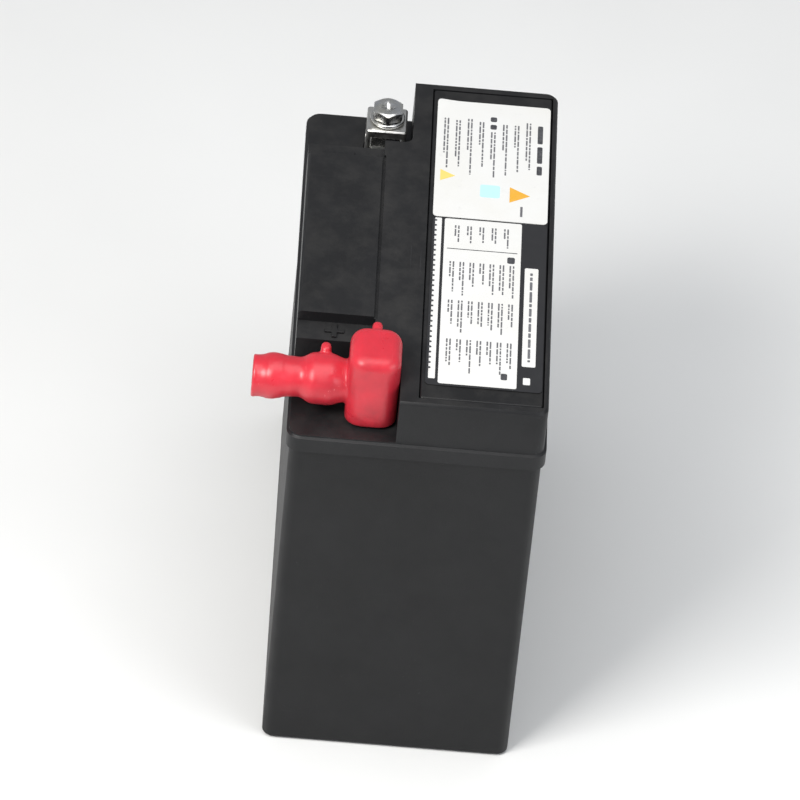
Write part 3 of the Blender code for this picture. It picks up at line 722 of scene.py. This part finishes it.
def make_notice_label(finishes):
    """White label at the negative end: nine lines of plain bars, two triangles and a pale square."""
    low, high = make_sheet("notice_label", "notice_sheet", finishes["label"])
    rng = random.Random(11)
    width = high.y - low.y
    grey, dark = [], []
    for line in range(NOTICE_LINES):
        share = NOTICE_FIRST_LINE + NOTICE_LINES_SPAN * line / (NOTICE_LINES - 1)
        y = low.y + width * share
        start = low.x + rng.uniform(*NOTICE_STARTS)
        end = low.x + rng.uniform(*NOTICE_ENDS)
        if line == NOTICE_LINES // 2:
            start = low.x + NOTICE_MIDDLE_START
        if line == NOTICE_LINES - 1:
            dark += word_bars(rng, start, end + NOTICE_HEADING_EXTRA, y, NOTICE_HEADING_HEIGHT)
        else:
            grey += small_print(rng, start, end, y)
    mid = low.y + width * 0.5
    for i in range(2):
        dark.append(bar(low.x + SQUARES_X + SQUARES_PITCH * i, mid, SQUARE_LENGTH, SQUARE_HEIGHT))
    code_y = low.y + width * CODE_Y
    grey += word_bars(rng, low.x + CODE_FROM, low.x + CODE_TO, code_y, CODE_HEIGHT)
    amber, yellow = (
        [triangle(low.x + x, low.y + width * share, size)] for x, share, size in (AMBER, YELLOW)
    )
    patch = rounded_rectangle(BLUE_HALF, BLUE_HALF, BLUE_CORNER, 3)
    blue = [[(u + low.x + BLUE_X, v + low.y + width * BLUE_Y) for u, v in patch]]
    make_prints(
        [
            ("notice_lines", grey, TEXT_LEVEL, "ink_grey"),
            ("notice_heading", dark, TEXT_LEVEL, "ink_dark"),
            ("notice_amber", amber, TEXT_LEVEL, "ink_amber"),
            ("notice_yellow", yellow, TEXT_LEVEL, "ink_yellow"),
            ("notice_blue", blue, TEXT_LEVEL, "ink_blue"),
        ],
        finishes,
    )


# The rating label. Places are metres from its ends and from its front edge.
# Each panel: name, distance from the far end (or the near end when below 0), front,
# distance of its other end from the near end, rear, corner radius.
RATING_PANELS = (
    ("rating_panel", 0.0006, 0.0042, 0.0010, 0.0305, 0.0008),
    ("rating_strip_front", 0.0006, 0.0009, 0.0032, 0.0032, 0.0003),
    ("rating_strip_rear", 0.0240, 0.0320, 0.0130, 0.0366, 0.0006),
    ("rating_square", -0.0072, 0.0326, 0.0036, 0.0350, 0.0004),
)
SHORT_LINES = 5
SHORT_FIRST_Y = 0.0085
SHORT_PITCH = 0.0042
SHORT_START = 0.0040
SHORT_ENDS = (0.011, 0.0145)
LONG_LINES = 7
LONG_FIRST_Y = 0.0072
LONG_PITCH = 0.0034
LONG_START = 0.0235
LONG_GROUPS = 3
LONG_GROUP_PITCH = 0.0205
LONG_LENGTHS = (0.011, 0.018)
FAR_BLOCK = (0.0190, 0.0272, 0.0034, 0.0026)
NEAR_BLOCK = (0.0085, 0.0262, 0.0034, 0.0022)
RULE = (0.0165, 0.0173, 0.0004, 0.0240)
DOT_PITCH = 0.0027
DOT_START = 0.002
DOTS_MARGIN = 0.006
DOT_Y = 0.0011
DOT_RADIUS = 0.00055
STRIP_TEXT = (0.0265, 0.0155, 0.0343, 0.0009)


def make_rating_label(finishes):
    """Black label at the positive end with a white panel, and a narrow white strip along each side."""
    low, high = make_sheet("rating_label", "rating_sheet", finishes["label_black"])
    left = low.y
    for name, from_far, front, from_near, rear, radius in RATING_PANELS:
        start = (high.x + from_far if from_far < 0 else low.x + from_far, left + front)
        end = (high.x - from_near, left + rear)
        mesh = sheet_mesh(start, end, radius, PANEL_LEVEL, PANEL)
        settle(add_piece(name, mesh, finishes["label"]), ROOT, "label")
    rng = random.Random(29)
    grey, dark = [], []
    for line in range(SHORT_LINES):
        y = left + SHORT_FIRST_Y + SHORT_PITCH * line
        grey += small_print(rng, low.x + SHORT_START, low.x + rng.uniform(*SHORT_ENDS), y)
    for line in range(LONG_LINES):
        y = left + LONG_FIRST_Y + LONG_PITCH * line
        for group in range(LONG_GROUPS):
            start = low.x + LONG_START + LONG_GROUP_PITCH * group
            grey += small_print(rng, start, start + rng.uniform(*LONG_LENGTHS), y)
    dark.append(bar(low.x + FAR_BLOCK[0], left + FAR_BLOCK[1], *FAR_BLOCK[2:]))
    dark.append(bar(high.x - NEAR_BLOCK[0], left + NEAR_BLOCK[1], *NEAR_BLOCK[2:]))
    rule = [bar(low.x + RULE[0], left + RULE[1], *RULE[2:])]
    dots = []
    for i in range(int((high.x - low.x - DOTS_MARGIN) / DOT_PITCH)):
        x = low.x + DOT_START + DOT_PITCH * i
        dots.append([(u + x, v + left + DOT_Y) for u, v in circle(DOT_RADIUS, 12)])
    from_far, from_near, y, height = STRIP_TEXT
    grey += word_bars(rng, low.x + from_far, high.x - from_near, left + y, height)
    make_prints(
        [
            ("rating_lines", grey, TEXT_LEVEL, "ink_grey"),
            ("rating_heading", dark + rule, TEXT_LEVEL, "ink_dark"),
            ("rating_dots", dots, TEXT_LEVEL, "ink_dark"),
        ],
        finishes,
    )


# Terminals and their screws.


def make_terminal(sign, finishes):
    terminal = refined(
        f"{sign}_terminal", f"{sign}_terminal_block", finishes["tinned"], TERMINAL_EDGE
    )
    settle(terminal, ROOT, "tinned", f"{sign}_terminal")
    nut = refined(f"{sign}_nut", f"{sign}_square_nut", finishes["zinc"], NUT_EDGE)
    settle(nut, ROOT, "zinc", f"{sign}_nut")


HOLE_RADIUS = 0.0033
WASHER_EASE = 0.00018
ROUND_STEPS = 96
SHANK_RADIUS = 0.00285
HEAD_HEIGHT = 0.004
THREAD_PITCH = 0.001
THREAD_DEPTH = 0.00042
THREAD_ROWS = 10
THREAD_RUNOUT = 0.0012
TIP_RUNIN = 0.0008
PLAIN_RELIEF = 0.0002
HEXAGON_EASE = 0.03
HEAD_FACE = 0.0002
CROSS_REACH = 0.0027
CROSS_WIDTH = 0.0011
CROSS_DEPTH = 0.0020
CROSS_OVER = 0.001


def make_washer(sign, finishes):
    low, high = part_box(f"{sign}_washer")
    centre = (low + high) / 2
    outer = (high.x - low.x) / 2
    inner = HOLE_RADIUS
    ease = WASHER_EASE
    profile = [
        (outer - ease, low.z), (outer, low.z + ease), (outer, high.z - ease), (outer - ease, high.z),
        (inner + ease, high.z), (inner, high.z - ease), (inner, low.z + ease), (inner + ease, low.z),
    ]
    loops = [at_height(circle(r, ROUND_STEPS), z, centre) for r, z in profile]
    washer = add_piece(f"{sign}_flat_washer", loft(loops, ring=True), finishes["zinc"], 50)
    settle(washer, f"{sign}_washer", "zinc", f"{sign}_washer")


def hexagon_reach(angle, half_flats):
    """Distance from the axis to a hexagon's side at that angle, with its corners eased."""
    off = (angle % (math.pi / 3)) - math.pi / 6
    reach = half_flats / math.cos(off)
    corner = half_flats / math.cos(math.pi / 6)
    return min(reach, corner * (1 - HEXAGON_EASE))


def bolt_mesh(centre, head_low, head_high, tip, shank, half_flats):
    """Hexagon screw: a threaded shank, a washer face, and a head with its corners turned off."""
    steps = ROUND_STEPS
    loops = []
    rows = int((head_low - tip) / (THREAD_PITCH / THREAD_ROWS))
    for row in range(rows + 1):
        z = tip + (head_low - tip) * row / rows
        fade = min(1.0, (head_low - z) / THREAD_RUNOUT, (z - tip) / TIP_RUNIN + 0.2)
        fade = max(fade, 0.0)
        loop = []
        for i in range(steps):
            angle = math.tau * i / steps
            phase = ((z - tip) / THREAD_PITCH - i / steps) % 1.0
            tooth = 1 - abs(2 * phase - 1)
            cut = THREAD_DEPTH * (1 - min(1.0, tooth * 1.25)) * fade
            r = shank - cut - PLAIN_RELIEF * (1 - fade)
            loop.append((centre.x + r * math.cos(angle), centre.y + r * math.sin(angle), z))
        loops.append(loop)
    face = half_flats * 0.95
    loops.append(at_height(circle(face, steps), head_low, centre))
    loops.append(at_height(circle(face, steps), head_low + HEAD_FACE, centre))
    rim = []
    shoulder = []
    crown = half_flats * 0.93
    for i in range(steps):
        angle = math.tau * i / steps
        r = hexagon_reach(angle, half_flats)
        x = centre.x + r * math.cos(angle)
        y = centre.y + r * math.sin(angle)
        rim.append((x, y, head_low + HEAD_FACE + 0.15 * max(0.0, r - face)))
        shoulder.append((x, y, head_high - HEAD_FACE - 0.55 * (r - crown)))
    loops += [rim, shoulder]
    loops.append(at_height(circle(crown, steps), head_high - 0.0001, centre))
    loops.append(at_height(circle(crown - 0.0003, steps), head_high, centre))
    return loft(loops)


def cross_cutter(centre, top):
    """The tapering cross of the recess in a screw's head."""
    ends = (
        (top - CROSS_DEPTH, CROSS_REACH * 0.25, CROSS_WIDTH * 0.35),
        (top + CROSS_OVER, CROSS_REACH * 1.25, CROSS_WIDTH * 0.62),
    )
    mesh = bmesh.new()
    for quarter in (0, 1):
        corners = []
        for z, a, b in ends:
            for sx, sy in ((-1, -1), (1, -1), (1, 1), (-1, 1)):
                x, y = sx * a, sy * b
                if quarter:
                    x, y = -y, x
                corners.append(mesh.verts.new((centre.x + x, centre.y + y, z)))
        low, high = corners[:4], corners[4:]
        mesh.faces.new(low[::-1])
        mesh.faces.new(high)
        for i in range(4):
            mesh.faces.new((low[i], low[(i + 1) % 4], high[(i + 1) % 4], high[i]))
    bmesh.ops.recalc_face_normals(mesh, faces=mesh.faces)
    return mesh


def make_bolt(sign, finishes):
    low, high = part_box(f"{sign}_bolt")
    centre = (low + high) / 2
    head_low = high.z - HEAD_HEIGHT
    body = bolt_mesh(centre, head_low, high.z, low.z, SHANK_RADIUS, (high.y - low.y) / 2)
    bolt = add_piece(f"{sign}_screw", body, finishes["zinc"], 28)
    cutter = add_piece(f"{sign}_cross", cross_cutter(centre, high.z), finishes["zinc"])
    cut = bolt.modifiers.new("cross", "BOOLEAN")
    cut.object = cutter
    cut.solver = "EXACT"
    cut.use_self = True
    bake_modifiers(bolt)
    bpy.data.objects.remove(cutter)
    settle(bolt, f"{sign}_bolt", "zinc", f"{sign}_bolt")


# Soft cover of the positive terminal. Each station of the sleeve: share of its length, and radius.

BOOT_WALL = 0.0014
BOOT_CORNER = 0.0056
BOOT_CROWN = 0.0042
BOOT_OPEN_BELOW = 0.004
LEAST_CORNER = 0.0006
CAP_ROWS = 8
SLEEVE_Z = BOOT_LOW.z + 0.0109
SLEEVE_START = POSITIVE.y - 0.004
SLEEVE_END = BOOT_LOW.y + 0.0002
SLEEVE_OPEN_BEYOND = 0.003
SLEEVE_DROOP = 0.0010
SLEEVE_ROWS = 40
SLEEVE_STEPS = 48
SLEEVE = [
    (0.0, 0.0076),
    (0.14, 0.0072),
    (0.30, 0.0087),
    (0.44, 0.0086),
    (0.57, 0.0066),
    (0.66, 0.0068),
    (0.82, 0.0078),
    (0.93, 0.0070),
    (0.96, 0.0070),
    (1.0, 0.0066),
]
RINGS = ((0.985, 0.0007), (0.74, 0.0004), (0.86, 0.0004))
RING_SINK = 0.0002
TAB_HALF_X = 0.0025
TAB_HALF_Y = 0.0018
TAB_HALF_Z = 0.0018
TAB_CORNER = 0.0017
CAP_TAB = (BOOT_LOW.x + 0.0025, POSITIVE.y, BOOT_HIGH.z - 0.0031)
SLEEVE_TAB = (POSITIVE.x - 0.0068, POSITIVE.y - 0.0165, SLEEVE_Z + 0.0074)
BOOT_VOXEL = 0.00042
BOOT_SMOOTHING = 7
HOLLOW_VOXEL = 0.0006
HOLLOW_SMOOTHING = 3


def blended(stations, t):
    """A smooth value at t through (place, value) stations."""
    for (t0, v0), (t1, v1) in zip(stations, stations[1:]):
        if t <= t1:
            s = (t - t0) / (t1 - t0)
            s = s * s * (3 - 2 * s)
            return v0 + (v1 - v0) * s
    return stations[-1][1]


def boot_cap(shrink):
    """The cap over the terminal, with a domed top, or its hollow when shrunk by the wall."""
    half_x = BOOT_HIGH.x - POSITIVE.x - shrink
    half_y = BOOT_HIGH.y - POSITIVE.y - shrink
    top = BOOT_HIGH.z - shrink
    bottom = BOOT_LOW.z - (BOOT_OPEN_BELOW if shrink else 0.0)
    radius = BOOT_CORNER - shrink
    crown = BOOT_CROWN - 0.5 * shrink
    loops = []
    for step in range(CAP_ROWS + 1):
        z = bottom + (top - crown - bottom) * step / CAP_ROWS
        loops.append(at_height(rounded_rectangle(half_x, half_y, radius), z, POSITIVE))
    for step in range(1, CAP_ROWS + 1):
        angle = step * math.pi / (2 * CAP_ROWS)
        inset = crown * (1 - math.cos(angle)) * 0.98
        z = top - crown + crown * math.sin(angle)
        corner = max(LEAST_CORNER, radius - inset)
        outline = rounded_rectangle(half_x - inset, half_y - inset, corner)
        loops.append(at_height(outline, z, POSITIVE))
    return loft(loops)


def sleeve_centre(t):
    """Y and Z of the sleeve's axis at a share t of its length. It droops in its front half."""
    y = SLEEVE_START + (SLEEVE_END - SLEEVE_START) * t
    return y, SLEEVE_Z - SLEEVE_DROOP * max(0.0, t - 0.5) ** 2 * 4


def boot_sleeve(shrink):
    """The sleeve towards the front, with two swellings and a waist between them."""
    loops = []
    for step in range(SLEEVE_ROWS + 1):
        t = step / SLEEVE_ROWS
        y, z = sleeve_centre(t)
        radius = blended(SLEEVE, t) - shrink
        if shrink and step == SLEEVE_ROWS:
            y -= SLEEVE_OPEN_BEYOND
        ring = circle(radius, SLEEVE_STEPS)
        loops.append([(POSITIVE.x + u * 1.02, y, z + v) for u, v in ring])
    return loft(loops)


def boot_rings():
    """Raised rings: a bead round the mouth and two ribs on the sleeve."""
    made = []
    for t, thick in RINGS:
        y, z = sleeve_centre(t)
        ring = blended(SLEEVE, t) - RING_SINK
        loops = []
        for step in range(SLEEVE_STEPS):
            angle = math.tau * step / SLEEVE_STEPS
            loop = []
            for u, v in circle(thick, 10):
                reach = ring + u
                x = POSITIVE.x + reach * math.cos(angle)
                loop.append((x, y + v, z + reach * math.sin(angle)))
            loops.append(loop)
        made.append(loft(loops, ring=True))
    return made


def boot_tab(x, y, z):
    """A small pull tab with a round end."""
    loops = []
    for step in range(CAP_ROWS + 1):
        angle = -math.pi / 2 + math.pi * step / CAP_ROWS
        bulge = max(0.3, math.cos(angle)) ** 0.5
        halves = (TAB_HALF_X * bulge, TAB_HALF_Y * bulge)
        outline = rounded_rectangle(*halves, TAB_CORNER * bulge, 6)
        loops.append(at_height(outline, z + TAB_HALF_Z * math.sin(angle), (x, y)))
    return loft(loops)


def fused(name, meshes, finish, voxel, smoothing):
    """One skin round several closed meshes, with the creases between them softened."""
    joined = bmesh.new()
    for mesh in meshes:
        data = bpy.data.meshes.new("scratch")
        mesh.to_mesh(data)
        mesh.free()
        joined.from_mesh(data)
        bpy.data.meshes.remove(data)
    obj = add_piece(name, joined, finish)
    remesh = obj.modifiers.new("skin", "REMESH")
    remesh.mode = "VOXEL"
    remesh.voxel_size = voxel
    remesh.use_smooth_shade = True
    smooth = obj.modifiers.new("soften", "SMOOTH")
    smooth.factor = 0.5
    smooth.iterations = smoothing
    return bake_modifiers(obj)


def make_boot(finishes):
    vinyl = finishes["boot_vinyl"]
    outer = [boot_cap(0.0), boot_sleeve(0.0), *boot_rings(), boot_tab(*CAP_TAB), boot_tab(*SLEEVE_TAB)]
    boot = fused("positive_boot", outer, vinyl, BOOT_VOXEL, BOOT_SMOOTHING)
    inner = [boot_cap(BOOT_WALL), boot_sleeve(BOOT_WALL)]
    hollow = fused("boot_hollow", inner, vinyl, HOLLOW_VOXEL, HOLLOW_SMOOTHING)
    cut = boot.modifiers.new("hollow", "BOOLEAN")
    cut.object = hollow
    cut.solver = "MANIFOLD"
    bake_modifiers(boot)
    bpy.data.objects.remove(hollow)
    boot.data.shade_smooth()
    boot.data.set_sharp_from_angle(angle=math.radians(50))
    settle(boot, "positive_cover", "boot_vinyl", "positive_cover")


# The solids that stay as they are.


def dress_nodes(finishes):
    """Every carried-over solid gets the finish of its slot in place of its flat colour."""
    slots = {s["node"]: s["material_slot"] for s in frame["record"]["subparts"]}
    for name, obj in frame["nodes"].items():
        finish = finishes[slots[name]]
        for i in range(max(1, len(obj.data.materials))):
            if i < len(obj.data.materials):
                obj.data.materials[i] = finish
            else:
                obj.data.materials.append(finish)


# Studio. Each light: name, place, size, power in watts and colour.

FLOOR_HALF = 3.0
LIGHTS = (
    ("key", (0.60, -0.60, 0.95), (0.50, 0.50), 12.6, (1.0, 0.985, 0.96)),
    ("fill", (0.60, 0.95, 0.60), (0.80, 0.60), 5.0, (0.94, 0.97, 1.0)),
    ("top", (0.15, 0.05, 1.25), (1.0, 0.8), 6.0, (1.0, 1.0, 1.0)),
)
SKY_COLOUR = (0.92, 0.95, 1.0, 1.0)
SKY_STRENGTH = 0.34
CAMERA_AZIMUTH = 88.0
CAMERA_ELEVATION = 40.0
CAMERA_ROLL = 6.0
CAMERA_DISTANCE = 3.0
CAMERA_CENTRE = (0.0, -0.004, 0.083)
CAMERA_LENS = 392.0


def look_at(obj, target, roll=0.0):
    direction = Vector(target) - obj.location
    obj.rotation_euler = direction.to_track_quat("-Z", "Y").to_euler()
    obj.rotation_euler.rotate_axis("Z", roll)


def add_area(name, place, size, power, colour, target):
    data = bpy.data.lights.new(name, "AREA")
    data.shape = "RECTANGLE"
    data.size, data.size_y = size
    data.energy = power
    data.color = colour
    light = bpy.data.objects.new(name, data)
    light.location = place
    bpy.context.scene.collection.objects.link(light)
    look_at(light, target)


def make_studio():
    centre = Vector(CAD_BOX[0]).lerp(Vector(CAD_BOX[1]), 0.5)
    mesh = bmesh.new()
    bmesh.ops.create_grid(mesh, x_segments=8, y_segments=8, size=FLOOR_HALF)
    floor = add_piece("studio_floor", mesh, floor_finish())
    for light in LIGHTS:
        add_area(*light, centre)
    world = bpy.data.worlds.new("studio")
    world.use_nodes = True
    background = world.node_tree.nodes["Background"]
    background.inputs["Color"].default_value = SKY_COLOUR
    background.inputs["Strength"].default_value = SKY_STRENGTH
    bpy.context.scene.world = world
    bpy.context.scene.view_settings.view_transform = "Standard"


def make_camera():
    """Behind the positive end and above it, turned so that the width runs down to the right."""
    azimuth = math.radians(CAMERA_AZIMUTH)
    elevation = math.radians(CAMERA_ELEVATION)
    centre = Vector(CAMERA_CENTRE)
    data = bpy.data.cameras.new("camera")
    data.lens = CAMERA_LENS
    camera = bpy.data.objects.new("camera", data)
    back = Vector(
        (
            math.sin(azimuth) * math.cos(elevation),
            -math.cos(azimuth) * math.cos(elevation),
            math.sin(elevation),
        )
    )
    camera.location = centre + back * CAMERA_DISTANCE
    bpy.context.scene.collection.objects.link(camera)
    look_at(camera, centre, math.radians(CAMERA_ROLL))
    bpy.context.scene.camera = camera


def main():
    finishes = make_finishes()
    make_studio()
    make_camera()
    dress_nodes(finishes)
    make_case(finishes)
    make_lid(finishes)
    make_seal_bead(finishes)
    make_polarity_marks(finishes)
    make_notice_label(finishes)
    make_rating_label(finishes)
    for sign in ("negative", "positive"):
        make_terminal(sign, finishes)
        make_washer(sign, finishes)
        make_bolt(sign, finishes)
    make_boot(finishes)


main()
